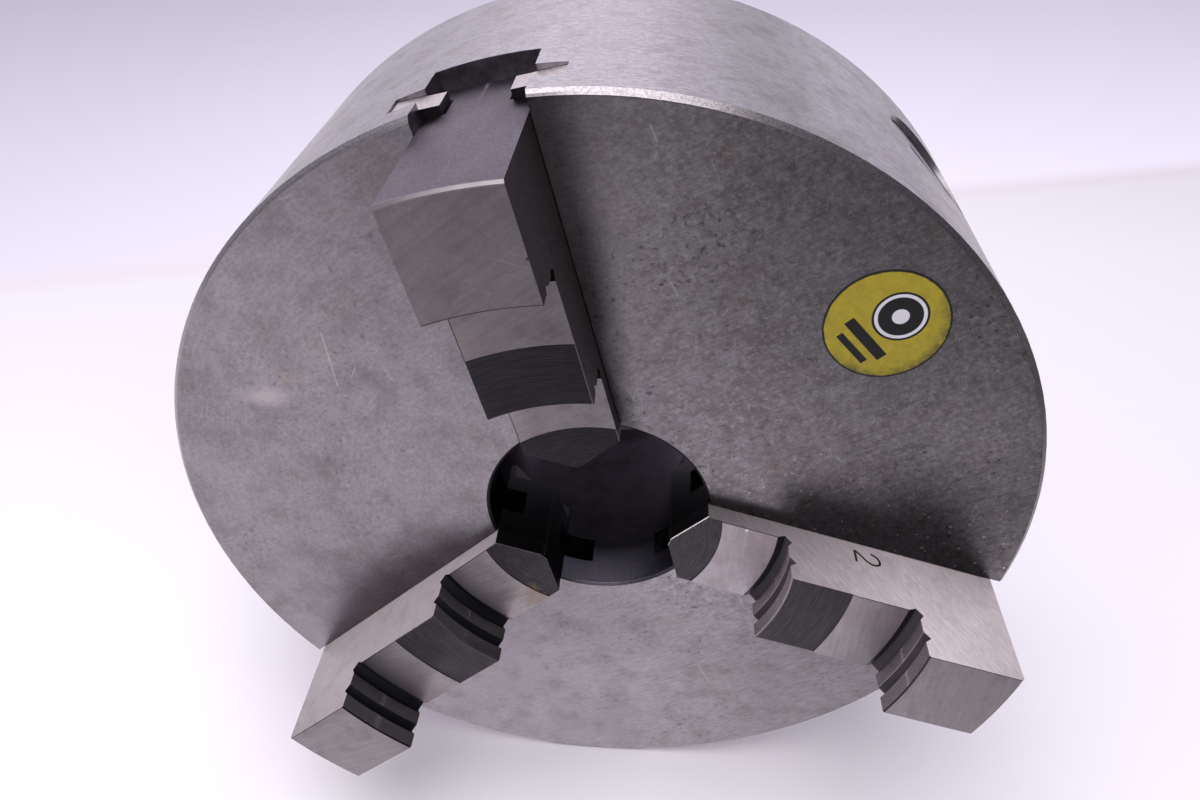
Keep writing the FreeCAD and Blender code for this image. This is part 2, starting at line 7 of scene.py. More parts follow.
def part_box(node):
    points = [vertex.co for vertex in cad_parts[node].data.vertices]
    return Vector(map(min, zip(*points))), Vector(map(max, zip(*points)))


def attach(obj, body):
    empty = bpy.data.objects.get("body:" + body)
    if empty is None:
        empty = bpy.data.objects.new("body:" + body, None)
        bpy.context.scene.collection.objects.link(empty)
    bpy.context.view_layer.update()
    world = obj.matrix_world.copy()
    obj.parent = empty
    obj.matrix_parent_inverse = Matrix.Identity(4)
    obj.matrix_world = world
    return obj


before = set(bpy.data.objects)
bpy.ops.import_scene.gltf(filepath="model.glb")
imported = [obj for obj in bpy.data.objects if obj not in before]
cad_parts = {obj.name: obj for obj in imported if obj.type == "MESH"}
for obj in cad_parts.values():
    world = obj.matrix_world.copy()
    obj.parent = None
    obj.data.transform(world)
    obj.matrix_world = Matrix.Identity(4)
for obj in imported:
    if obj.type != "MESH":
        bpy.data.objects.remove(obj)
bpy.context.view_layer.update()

MM = 0.001
BODY_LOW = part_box("chuck_body")[0]
FACE_Y = BODY_LOW.y                       # the chuck's front face
FLOOR_Z = BODY_LOW.z                      # the chuck stands on its rim
BADGE_LOW, BADGE_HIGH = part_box("badge_plate")
BADGE_CENTRE = (BADGE_LOW + BADGE_HIGH) / 2
BADGE_ANGLE = math.degrees(math.atan2(BADGE_CENTRE.x, BADGE_CENTRE.z))
JAW_ANGLES = (-14, 106, 226)              # degrees clockwise of +Z, seen from the front

# Lengths in mm. Heights are forward of the face, so what lies behind it is negative.
FACE_RADIUS = 98.9                        # where the rim's front chamfer starts
BACK_EDGE = -74.0                         # height where the rim's rear chamfer starts
BORE_EDGE = 26.6                          # radius of the bore's mouth, with its chamfer
SLOT_HALF_WIDTH = 11.0
STRIP_HALF_WIDTH = 17.3                   # outer sides of a slot's two guide strips
STRIP_BACK = -15.0                        # height of the strips' back
JAW_HALF_WIDTH = 10.85
JAW_END = 96.45                           # radius of a jaw's outer end
BLOCK_TOP = 29.0                          # height of the front of a jaw's outer block
FIRST_SEAT, SECOND_SEAT = 4.7, 16.85      # heights of the two seats
STEP_RISE = 12.15                         # how far each step rises above its seat
JAW_STEPS = ((44.2, FIRST_SEAT), (74.1, SECOND_SEAT))    # radius of each land, and its seat
FIRST_DARK, SECOND_DARK = 29.0, 58.5      # radius where each seat's turned back zone ends

# Looks of the three jaws, in order
# painted light and shade, lighter or darker on each jaw
FRONT_PAINTED_LIGHT = ((0.957, 0.74), (1.27, 0.98), (1.18, 0.93))      # first seat and block
# painted light and shade along the sides, lighter or darker on each jaw
SIDE_PAINTED_LIGHT = ((0.92, 0.92), (0.75, 1.26), (1.0, 1.0))          # near the bore and near the rim
PLAIN_RISER = ((0.28, 0.27, 0.292), (0.385, 0.372, 0.40))      # darkest and lightest
RISER_COLOURS = (PLAIN_RISER, ((0.50, 0.455, 0.48), (0.70, 0.64, 0.67)), PLAIN_RISER)
# painted shade in the undercuts and grooves
HOLLOW_SHADES = ((0.018, 0.017, 0.018), (0.052, 0.048, 0.053), (0.066, 0.067, 0.074))
# painted light on each nose's front edge
NOSE_EDGE_LIGHTS = ((0.05, 0.05, 0.05), (1.0, 0.97, 0.96), (0.13, 0.12, 0.125))
NOSE_EDGE_STARTS = (4.3, 4.0, 4.3)        # height in mm
DARK_TONES = (0.74, 0.98, 0.98)
ARC_LEANS = (-52, 16, 16)                 # degrees that the milling arcs lean on each front


def radial(degrees):
    """The unit vector that points outwards at an angle clockwise of +Z."""
    angle = math.radians(degrees)
    return Vector((math.sin(angle), 0, math.cos(angle)))


# ---------------------------------------------------------------- shader tools
class Shader:
    """One material's node tree, with short calls for the nodes that this scene uses."""

    def __init__(self, name, metallic=1.0):
        self.material = bpy.data.materials.new(name)
        self.material.use_nodes = True
        self.tree = self.material.node_tree
        self.surface = self.tree.nodes["Principled BSDF"]
        self.surface.inputs["Metallic"].default_value = metallic
        self.coordinates = self.tree.nodes.new("ShaderNodeTexCoord")
        self.place = self.vector("SCALE", self.coordinates.outputs["Object"], scale=1 / MM)
        split = self.node("ShaderNodeSeparateXYZ", Vector=self.place)
        self.x, self.y, self.z = split.outputs
        self.flat = self.node("ShaderNodeCombineXYZ", X=self.x, Z=self.z).outputs[0]
        self.radius = self.vector("LENGTH", self.flat)
        self.outwards = self.vector("NORMALIZE", self.flat)
        self.normal = self.coordinates.outputs["Normal"]
        self.normal_y = self.node("ShaderNodeSeparateXYZ", Vector=self.normal).outputs[1]
        self.height = self.math("MULTIPLY_ADD", self.y, -1, FACE_Y / MM)

    def node(self, kind, settings=None, **inputs):
        made = self.tree.nodes.new(kind)
        for name, value in (settings or {}).items():
            setattr(made, name, value)
        for name, value in inputs.items():
            self.join(value, made.inputs[name.replace("_", " ")])
        return made

    def join(self, value, socket):
        if isinstance(value, bpy.types.NodeSocket):
            self.tree.links.new(value, socket)
        else:
            socket.default_value = value

    def math(self, operation, *values, clamp=False):
        made = self.node("ShaderNodeMath", {"operation": operation, "use_clamp": clamp})
        for value, socket in zip(values, made.inputs):
            self.join(value, socket)
        return made.outputs[0]

    def vector(self, operation, *values, scale=None):
        made = self.node("ShaderNodeVectorMath", {"operation": operation})
        for value, socket in zip(values, made.inputs):
            self.join(value, socket)
        if scale is not None:
            self.join(scale, made.inputs["Scale"])
        single = operation in ("LENGTH", "DOT_PRODUCT", "DISTANCE")
        return made.outputs["Value" if single else "Vector"]

    def noise(self, scale, detail=2.0, vector=None, roughness=0.5, distortion=0.0):
        """Noise from 0 to 1 with features about 1 / scale across."""
        made = self.node("ShaderNodeTexNoise", Vector=vector or self.place, Scale=scale,
                         Detail=detail, Roughness=roughness, Distortion=distortion)
        return made.outputs["Fac"]

    def stretched(self, scales, detail=2.0, source=None, turned=(0, 0, 0)):
        """Noise drawn out along an axis that is turned in degrees: features per mm on each axis."""
        angles = [math.radians(a) for a in turned]
        mapped = self.node("ShaderNodeMapping", {"vector_type": "TEXTURE"}, Rotation=angles,
                           Vector=source or self.place, Scale=[1 / a for a in scales])
        return self.noise(1.0, detail, mapped.outputs[0])

    def lathe_marks(self, across, around, detail=2.0):
        """Fine rings about the chuck's axis: across is lines per mm, around how soon they change."""
        rings = self.vector("SCALE", self.outwards, scale=around)
        depth = self.node("ShaderNodeCombineXYZ", Y=self.math("MULTIPLY", self.radius, across))
        return self.noise(1.0, detail, self.vector("ADD", rings, depth.outputs[0]))

    def ramp(self, value, low, high, low_out=0.0, high_out=1.0):
        """A straight ramp between two values, flat outside them."""
        made = self.node("ShaderNodeMapRange", {"clamp": True}, Value=value)
        for name, number in (("From Min", low), ("From Max", high), ("To Min", low_out),
                             ("To Max", high_out)):
            made.inputs[name].default_value = number
        return made.outputs[0]

    def axes(self, angle):
        """How far out along a jaw's direction, and how far to its clockwise side, in mm."""
        return (self.vector("DOT_PRODUCT", self.place, radial(angle)),
                self.vector("DOT_PRODUCT", self.place, radial(angle + 90)))

    def slanted(self, along, degrees):
        """A place on a jaw's side face, turned so that X runs forwards and outwards at that slope."""
        flat = self.node("ShaderNodeCombineXYZ", X=along, Y=self.height).outputs[0]
        turned = self.node("ShaderNodeVectorRotate", {"rotation_type": "Z_AXIS"}, Vector=flat,
                           Angle=-math.radians(degrees))
        return turned.outputs[0]

    def mix(self, factor, first, second):
        made = self.node("ShaderNodeMix", {"data_type": "RGBA"})
        for value, index in ((factor, 0), (first, 6), (second, 7)):
            if isinstance(value, tuple) and len(value) == 3:
                value = (*value, 1)
            self.join(value, made.inputs[index])
        return made.outputs[2]

    def lay(self, strength, spread):
        """Machining marks: they spread reflections along the direction given, across the marks."""
        self.surface.inputs["Anisotropic"].default_value = strength
        self.join(spread, self.surface.inputs["Tangent"])

    def mix_vectors(self, factor, first, second):
        made = self.node("ShaderNodeMix", {"data_type": "VECTOR"})
        for value, index in ((factor, 0), (first, 4), (second, 5)):
            self.join(value, made.inputs[index])
        return made.outputs[1]

    def finish(self, colour, roughness, bump=None, strength=0.1, distance=0.02):
        """Join the results to the shader; the bump's distance is in mm."""
        self.join(colour, self.surface.inputs["Base Color"])
        self.join(roughness, self.surface.inputs["Roughness"])
        if bump is not None:
            made = self.node("ShaderNodeBump", Height=bump, Strength=strength,
                             Distance=distance * MM)
            self.join(made.outputs[0], self.surface.inputs["Normal"])
        return self.material


# ---------------------------------------------------------------- materials
def scratches(s, count, turned, vector=None):
    """Fine straight lines in one direction: 0 between them, 1 on them."""
    lines = s.stretched((0.05, 1.6, 1.6), 1, vector, turned)
    broken = s.ramp(s.noise(0.15, 2), 0.45, 0.6)
    return s.math("MULTIPLY", s.ramp(lines, count, count + 0.05), broken)


def deep_scratch(s, start, end, width):
    """One long scratch on the face between two places (x, z) in mm: 1 on it."""
    start, end = Vector((start[0], 0, start[1])), Vector((end[0], 0, end[1]))
    run = end - start
    from_start = s.vector("SUBTRACT", s.flat, start)
    along = s.math("DIVIDE", s.vector("DOT_PRODUCT", from_start, run), run.length_squared, clamp=True)
    nearest = s.vector("SCALE", run, scale=along)
    away = s.vector("DISTANCE", from_start, nearest)
    return s.ramp(away, width / 2, width, 1, 0)


def spot(s, place, size, rough_edge=0.5):
    """A ragged stain about a place (x, y, z) in mm: 1 in its middle, 0 past its size."""
    away = s.vector("DISTANCE", s.place, Vector(place))
    ragged = s.math("MULTIPLY_ADD", s.noise(0.9, 4, roughness=0.7), rough_edge * size * 2, away)
    return s.ramp(ragged, size * (0.4 + rough_edge), size * (1 + rough_edge), 1, 0)


def largest(s, masks):
    total = masks[0]
    for mask in masks[1:]:
        total = s.math("MAXIMUM", total, mask)
    return total


def flecks(s, density, size, share):
    """Small round flecks scattered at random: 1 on them. share is how many cells hold one."""
    cells = s.node("ShaderNodeTexVoronoi", Vector=s.place, Scale=density)
    drawn = s.node("ShaderNodeSeparateColor", Color=cells.outputs["Color"]).outputs[0]
    chosen = s.math("GREATER_THAN", drawn, 1 - share)
    near = s.ramp(cells.outputs["Distance"], size * density * 0.6, size * density, 1, 0)
    return s.math("MULTIPLY", near, chosen)


def face_iron(s, fine, blotch, crossed):
    """The worn face: clouds, grain, smudges and dark specks."""
    streak = s.lathe_marks(1.6, 22, 3)
    cloud = s.noise(0.028, 4, distortion=0.8)
    worn = s.noise(0.055, 5, s.vector("ADD", s.place, (70, 0, 35)), roughness=0.66, distortion=1.5)
    lower = s.ramp(s.z, -50, -20, 0.75, 1)
    clusters = s.math("MULTIPLY", s.ramp(s.noise(0.045, 3), 0.46, 0.60), lower)
    handled = s.math("MULTIPLY", s.ramp(s.x, -10, 20), s.ramp(s.z, -50, -20, 0.15, 1))
    smoother = s.ramp(s.z, -45, -20, 0.35, 1)

    colour = s.mix(s.ramp(cloud, 0.3, 0.7), (0.255, 0.233, 0.254), (0.335, 0.309, 0.333))
    colour = s.mix(s.ramp(worn, 0.42, 0.60, 0, 0.7), colour, (0.30, 0.277, 0.315))
    colour = s.mix(s.ramp(worn, 0.36, 0.44, 0.5, 0), colour, (0.25, 0.222, 0.228))
    lighter = s.math("MULTIPLY", s.ramp(fine, 0.48, 0.72, 0, 0.5), smoother)
    colour = s.mix(lighter, colour, (0.45, 0.42, 0.45))
    darker = s.math("MULTIPLY", s.ramp(fine, 0.28, 0.48, 0.44, 0), smoother)
    colour = s.mix(darker, colour, (0.15, 0.138, 0.145))
    streaked = s.math("MULTIPLY", s.ramp(streak, 0.48, 0.7, 0, 0.35), smoother)
    colour = s.mix(streaked, colour, (0.43, 0.40, 0.43))
    colour = s.mix(crossed, colour, (0.17, 0.157, 0.163))
    colour = s.mix(s.ramp(blotch, 0.47, 0.70, 0, 0.5), colour, (0.16, 0.146, 0.148))
    grubby = s.math("MULTIPLY", handled, s.ramp(s.noise(0.35, 5, roughness=0.75), 0.5, 0.68))
    colour = s.mix(s.math("MULTIPLY", grubby, 0.85), colour, (0.16, 0.145, 0.14))
    rubbed = s.math("MULTIPLY", handled, s.ramp(s.noise(0.9, 6, roughness=0.78), 0.5, 0.66))
    colour = s.mix(s.math("MULTIPLY", rubbed, 0.8), colour, (0.47, 0.44, 0.465))
    specks = s.ramp(s.noise(0.75, 3, roughness=0.6), 0.58, 0.68)
    specks = s.math("MULTIPLY", specks, clusters)
    specks = s.math("MULTIPLY", specks, s.ramp(s.x, -10, 10, 0.45, 0.75))
    return s.mix(specks, colour, (0.07, 0.064, 0.064))


def chips_and_stains(s, colour):
    """Metal chips beside jaw 2, rust where jaw 3 meets the face, and a pale smudge at the left."""
    along, across = s.axes(JAW_ANGLES[1])
    dusty = s.math("MULTIPLY", s.ramp(across, -40, -16), s.ramp(across, -10, -12))
    dusty = s.math("MULTIPLY", dusty, s.ramp(along, 20, 45))
    bright_chip, rusty_chip = (0.95, 0.88, 0.86), (0.62, 0.22, 0.08)
    for density, size, share, chip_colour in ((0.45, 0.34, 0.45, bright_chip),
                                              (0.22, 0.55, 0.45, bright_chip),
                                              (0.15, 0.45, 0.25, rusty_chip)):
        chips = s.math("MULTIPLY", flecks(s, density, size, share), dusty)
        colour = s.mix(chips, colour, chip_colour)
    rusty = spot(s, (-60.8, FACE_Y / MM, -43.0), 1.8)
    colour = s.mix(s.math("MULTIPLY", rusty, 0.6), colour, (0.30, 0.18, 0.09))
    smeared = s.vector("MULTIPLY", s.vector("SUBTRACT", s.flat, (-74.1, 0, 29.3)), (1, 1, 2.2))
    ragged = s.math("MULTIPLY_ADD", s.noise(0.6, 4, roughness=0.7), 6, s.vector("LENGTH", smeared))
    smudge = s.math("MULTIPLY", s.ramp(ragged, 5, 11, 1, 0), s.ramp(s.height, -0.5, -0.3))
    return s.mix(s.math("MULTIPLY", smudge, 0.55), colour, (0.55, 0.49, 0.51))


def rim_iron(s, colour, fine, blotch, rust):
    """The rim and its front chamfer are brighter than the face, with painted highlights that vary
    across them.
    """
    past_face = s.ramp(s.radius, FACE_RADIUS - 0.15, FACE_RADIUS + 0.05)
    rim = s.math("MULTIPLY", past_face, s.ramp(s.height, 0.0, -0.1))
    grain = s.stretched((0.5, 1.6, 0.5), 4)
    rim_colour = s.mix(s.ramp(grain, 0.3, 0.7), (0.35, 0.327, 0.36), (0.53, 0.495, 0.538))
    rim_colour = s.mix(s.ramp(fine, 0.3, 0.5, 0.7, 0), rim_colour, (0.24, 0.22, 0.235))
    rim_colour = s.mix(s.ramp(blotch, 0.48, 0.70, 0, 0.6), rim_colour, (0.25, 0.222, 0.232))
    rim_colour = s.mix(s.math("MULTIPLY", rust, 0.35), rim_colour, (0.34, 0.23, 0.15))
    # painted highlights: the rim is lighter around the top, just left of centre, and towards the right
    tone = s.math("MINIMUM", s.ramp(s.x, -30, -12, 0.95, 1.15), s.ramp(s.x, 4, 26, 1.15, 0.8))
    tone = s.math("ADD", tone, s.ramp(s.x, 34, 50, 0, 0.42))
    colour = s.mix(rim, colour, s.vector("SCALE", rim_colour, scale=tone))
    chamfer = s.math("MULTIPLY", rim, s.ramp(s.height, -1.3, -1.1))
    speckle = s.noise(2.4, 3, roughness=0.7)
    bright = s.mix(s.ramp(speckle, 0.36, 0.56), (0.19, 0.175, 0.186), (0.325, 0.30, 0.318))
    # the chamfer is painted lighter towards the right, as painted light
    bright = s.vector("SCALE", bright, scale=s.ramp(s.x, 15, 45, 1, 1.5))
    return s.mix(chamfer, colour, bright)


def face_tone(s):
    """How bright each part of the face is: duller at the lower left, with a painted reflection of jaw
    1's dark side beside jaw 1.
    """
    left = s.math("MAXIMUM", s.ramp(s.x, 15, -30, 1, 0.795), s.ramp(s.z, -35, -60, 0.8, 0.97))
    low_right = s.math("MAXIMUM", s.ramp(s.x, 25, 50, 1, 0.84), s.ramp(s.z, 15, 30, 0.8, 1))
    top = s.math("MULTIPLY", s.ramp(s.z, 50, 80), s.ramp(s.x, 28, 10))
    top = s.math("MULTIPLY", top, s.ramp(s.x, -20, -10, 0, 0.25))
    right_edge = s.math("MULTIPLY", s.ramp(s.x, 62, 80, 0, 0.27), s.ramp(s.z, 10, 22))
    on_face = s.ramp(s.radius, FACE_RADIUS - 0.2, FACE_RADIUS - 0.4)
    lift = s.math("MULTIPLY", s.math("ADD", top, right_edge), on_face)
    # beside jaw 1 the face is darkened with a painted reflection of the jaw's dark side
    along, across = s.axes(JAW_ANGLES[0])
    beside = s.math("SUBTRACT", across, JAW_HALF_WIDTH)
    painted_jaw_reflection = s.ramp(s.math("DIVIDE", beside, s.ramp(along, 25, 70, 5, 9.5)), 0.3, 1.0, 0.42, 1)
    painted_jaw_reflection = largest(s, (painted_jaw_reflection, s.ramp(beside, -5, -10), s.ramp(along, 25, 18)))
    tone = s.math("MULTIPLY", s.math("MULTIPLY", left, low_right), s.math("ADD", lift, 1))
    tone = s.math("MULTIPLY", tone, painted_jaw_reflection)
    return s.math("MAXIMUM", tone, s.ramp(s.height, -0.3, -0.5))


def recesses(s):
    """1 in the slots, the bore and the gear space; 0 on the face, the rim and the back."""
    facing_out = s.vector("DOT_PRODUCT", s.normal, s.outwards)
    grooves = s.ramp(s.height, STRIP_BACK - 0.5, STRIP_BACK - 0.2)
    for angle in JAW_ANGLES:
        along, across = s.axes(angle)
        clear = s.ramp(s.math("ABSOLUTE", across), SLOT_HALF_WIDTH + 0.2, SLOT_HALF_WIDTH + 0.4)
        grooves = s.math("MINIMUM", grooves, s.math("MAXIMUM", clear, s.ramp(along, 90, 80)))
    at_rim = s.math("MAXIMUM", grooves, s.ramp(facing_out, 0.4, 0.6))
    at_rim = s.math("MULTIPLY", at_rim, s.ramp(s.radius, FACE_RADIUS - 0.2, FACE_RADIUS))
    outside = largest(s, (s.ramp(s.height, -0.5, -0.3), at_rim,
                          s.ramp(s.height, BACK_EDGE + 0.4, BACK_EDGE + 0.2)))
    return s.math("SUBTRACT", 1, outside)


def bore_iron(s, colour, fine, blotch, inside):
    """The bore's wall is black with oil and painted shade, darkest in a painted band of shadow near its
    back, and painted lighter where light reaches its lower mouth. Returns colour and mask.
    """
    bore = s.math("MULTIPLY", s.ramp(s.radius, BORE_EDGE + 0.2, BORE_EDGE), inside)
    wall = s.mix(s.ramp(blotch, 0.4, 0.6), (0.006, 0.0055, 0.007), (0.014, 0.013, 0.016))
    lower = s.mix(s.ramp(fine, 0.3, 0.7), (0.17, 0.16, 0.205), (0.26, 0.245, 0.30))
    # painted light on the lower wall near the mouth, where light reaches in
    lit = s.math("MULTIPLY", s.ramp(s.z, -14, -23), s.ramp(s.height, -13, -2))
    wall = s.mix(lit, wall, lower)
    # a painted band of shadow near the bore's back
    wall = s.mix(s.ramp(s.height, -55, -58), wall, (0.001, 0.001, 0.001))
    colour = s.mix(bore, colour, wall)
    mouth = s.ramp(s.radius, BORE_EDGE + 0.15, BORE_EDGE + 0.05)
    mouth = s.math("MULTIPLY", mouth, s.math("SUBTRACT", 1, bore))
    # the mouth's chamfer is painted lighter low down, as painted light
    mouth_colour = s.mix(s.ramp(s.z, -8, -22), (0.03, 0.028, 0.036), (0.14, 0.13, 0.15))
    return s.mix(mouth, colour, mouth_colour), bore


def body_iron():
    """Turned and ground iron, dulled by handling: streaked grain, dark specks and stains."""
    s = Shader("body_iron")
    fine = s.noise(1.5, 5, roughness=0.62)
    blotch = s.noise(0.13, 6, roughness=0.70)
    rust = s.noise(0.07, 5, s.vector("ADD", s.place, (140, 30, 60)), roughness=0.7)
    rust = s.ramp(rust, 0.6, 0.74)
    cross = s.stretched((0.25, 1.8, 1.8), 3, turned=(0, -30, 0))
    crossed = s.math("MULTIPLY", s.ramp(cross, 0.35, 0.6, 1, 0), s.ramp(s.x, -20, 20, 0.18, 0.5))

    colour = face_iron(s, fine, blotch, crossed)
    colour = s.mix(s.math("MULTIPLY", rust, 0.28), colour, (0.30, 0.20, 0.13))
    colour = chips_and_stains(s, colour)
    colour = rim_iron(s, colour, fine, blotch, rust)
    lines = largest(s, (
        scratches(s, 0.70, (0, 62, 0)), scratches(s, 0.72, (0, -20, 0)),
        deep_scratch(s, (-58.6, 47.2), (-57.3, 33.0), 0.22),
        deep_scratch(s, (-52.5, 38.5), (-54.0, 35.5), 0.15),
        deep_scratch(s, (8.6, 94.0), (9.9, 91.0), 0.22)))
    colour = s.mix(s.math("MULTIPLY", lines, 0.35), colour, (0.62, 0.60, 0.62))
    colour = s.vector("SCALE", colour, scale=face_tone(s))

    inside = recesses(s)
    # the recesses are dark with oil and painted shade, less dark towards the rim
    oil_and_shade = s.mix(s.ramp(blotch, 0.4, 0.6), (0.055, 0.052, 0.058), (0.11, 0.103, 0.112))
    oil_and_shade = s.vector("SCALE", oil_and_shade, scale=s.ramp(s.radius, 86, 90, 1, 2.8))
    colour = s.mix(inside, colour, oil_and_shade)
    colour, bore = bore_iron(s, colour, fine, blotch, inside)
    s.join(s.mix(bore, (1, 1, 1), (0.95, 0.89, 1.0)), s.surface.inputs["Specular Tint"])

    flat_on = s.ramp(s.math("ABSOLUTE", s.normal_y), 0.5, 0.6)
    s.lay(0.6, s.mix_vectors(flat_on, (0, 1, 0), s.outwards))
    rough = s.math("ADD", s.ramp(blotch, 0.3, 0.75, 0.30, 0.39), s.ramp(fine, 0.3, 0.7, 0, 0.05))
    height = s.math("ADD", s.math("MULTIPLY", fine, 0.6), s.math("MULTIPLY", crossed, -0.6))
    return s.finish(colour, rough, height, 0.10)


def plain_steel(name, low, high, roughness=0.35):
    """Turned steel with a few stains, and painted shade where it lines the bore."""
    s = Shader(name)
    grain = s.noise(1.2, 4)
    stain = s.noise(0.12, 4, roughness=0.65)
    colour = s.mix(s.ramp(grain, 0.3, 0.7), low, high)
    colour = s.mix(s.ramp(stain, 0.5, 0.75, 0, 0.4), colour, tuple(c * 0.5 for c in low))
    # painted shade within the bore
    colour = s.mix(s.ramp(s.radius, BORE_EDGE, BORE_EDGE - 0.2), colour, (0.028, 0.025, 0.036))
    return s.finish(colour, s.ramp(stain, 0.3, 0.7, roughness - 0.05, roughness + 0.1), grain, 0.1)


def hollow(s, land, seat):
    """The undercut at a riser's foot and the groove half-way up it."""
    up = s.math("SUBTRACT", s.height, seat)
    foot = s.math("MULTIPLY", s.ramp(up, 2.25, 2.15), s.ramp(up, -1.1, -1.0))
    foot = s.math("MULTIPLY", foot, s.ramp(s.radius, land - 2.3, land - 2.2))
    groove = s.math("MULTIPLY", s.ramp(up, 8.7, 8.6), s.ramp(up, 5.1, 5.2))
    groove = s.math("MULTIPLY", groove, s.ramp(s.radius, land + 0.02, land + 0.04))
    within = s.ramp(s.radius, land + 1.7, land + 1.6)
    return s.math("MULTIPLY", s.math("MAXIMUM", foot, groove), within)


def on_second_seat(s, mask):
    """The mask, kept to the height of the second seat."""
    mask = s.math("MULTIPLY", mask, s.ramp(s.height, SECOND_SEAT + 0.75, SECOND_SEAT + 0.55))
    return s.math("MULTIPLY", mask, s.ramp(s.height, SECOND_SEAT - 0.65, SECOND_SEAT - 0.45))


def seat_steel(s, number, angle, across, fine, blotch):
    """Seats and block face: faint milling arcs that lean across the jaw, tarnished in places, with
    painted light and shade that differ from jaw to jaw and a painted shadow near the riser.
    """
    arcs = s.stretched((0.10, 1.1, 1.1), 4, turned=(0, ARC_LEANS[number - 1] - angle, 0))
    colour = s.mix(s.ramp(arcs, 0.25, 0.75), (0.297, 0.268, 0.287), (0.373, 0.342, 0.361))
    colour = s.mix(s.ramp(fine, 0.3, 0.5, 0.35, 0), colour, (0.22, 0.198, 0.21))
    colour = s.mix(s.ramp(blotch, 0.5, 0.75, 0, 0.4), colour, (0.21, 0.185, 0.182))
    tarnish = s.ramp(s.noise(0.09, 4, roughness=0.6), 0.42, 0.58)
    tarnish = s.math("MULTIPLY", tarnish, s.ramp(across, 2, -8))
    on_seats = s.ramp(s.height, SECOND_SEAT + 0.75, SECOND_SEAT + 0.55, 0.06, 0.35)
    colour = s.mix(s.math("MULTIPLY", tarnish, on_seats), colour, (0.34, 0.262, 0.255))
    # painted light and shade from the first seat to the block, set for each jaw
    tone = s.ramp(s.height, 4, BLOCK_TOP, *FRONT_PAINTED_LIGHT[number - 1])
    if number > 1:
        # painted shadow on the second seat, next to the riser
        riser_shadow = on_second_seat(s, s.ramp(s.radius, 60, 74))
        tone = s.math("MULTIPLY", tone, s.ramp(riser_shadow, 0, 1, 0.95, 0.53))
    return s.vector("SCALE", colour, scale=tone)


def side_steel(s, number, along, ground, blotch):
    """Ground sides: crossed diagonal marks that run outwards and forwards, with painted light and shade
    along each side.
    """
    crossed = s.stretched((0.3, 3.4, 3.4), 2, s.slanted(along, 70))
    colour = s.mix(s.ramp(ground, 0.32, 0.68), (0.285, 0.254, 0.268), (0.385, 0.348, 0.366))
    colour = s.mix(s.ramp(crossed, 0.4, 0.75, 0, 0.4), colour, (0.50, 0.455, 0.475))
    colour = s.mix(s.ramp(blotch, 0.52, 0.75, 0, 0.45), colour, (0.20, 0.18, 0.185))
    # painted light and shade along the side, set for each jaw; on jaw 2 darker again towards the rim
    tone = s.ramp(along, 28, 72, *SIDE_PAINTED_LIGHT[number - 1])
    if number == 2:
        tone = s.math("MULTIPLY", tone, s.ramp(along, 72, 96, 1, 0.8))
    return s.vector("SCALE", colour, scale=tone)


def edge_lines(s, number, colour, across, front, rest, dark):
    """Fine lines where the jaw's faces meet: painted shadow lines, and a painted highlight along the
    clockwise edge of each dark zone.
    """
    inner = s.math("MULTIPLY", across, 1 if number == 3 else -1)
    # painted shadow line along one side edge of the front
    edge_shadow = s.ramp(inner, JAW_HALF_WIDTH - 0.25, JAW_HALF_WIDTH - 0.2)
    edge_shadow = s.math("MULTIPLY", edge_shadow, front)
    if number == 1:
        edge_shadow = s.math("MULTIPLY", edge_shadow, s.ramp(s.height, 26, 25, 0, 0.8))
    colour = s.mix(edge_shadow, colour, (0.05, 0.046, 0.048))
    # painted highlight along the dark zones' clockwise edge
    dark_zone_highlight = s.ramp(across, JAW_HALF_WIDTH - 0.25, JAW_HALF_WIDTH - 0.2)
    colour = s.mix(s.math("MULTIPLY", dark_zone_highlight, dark), colour, (0.17, 0.155, 0.165))
    # painted shadow lines along the top edge of each riser
    step_shadow_colours = (0.16, 0.15, 0.155), (0.045, 0.04, 0.042)
    for (land, seat), step_shadow_colour in zip(JAW_STEPS, step_shadow_colours):
        near = s.math("MULTIPLY", s.ramp(s.radius, land + 0.36, land + 0.31),
                      s.ramp(s.radius, land - 0.10, land - 0.05))
        top = seat + STEP_RISE
        step_shadow = s.math("MULTIPLY", near, s.ramp(s.height, top - 0.34, top - 0.3))
        colour = s.mix(s.math("MULTIPLY", step_shadow, rest), colour, step_shadow_colour)
    return colour


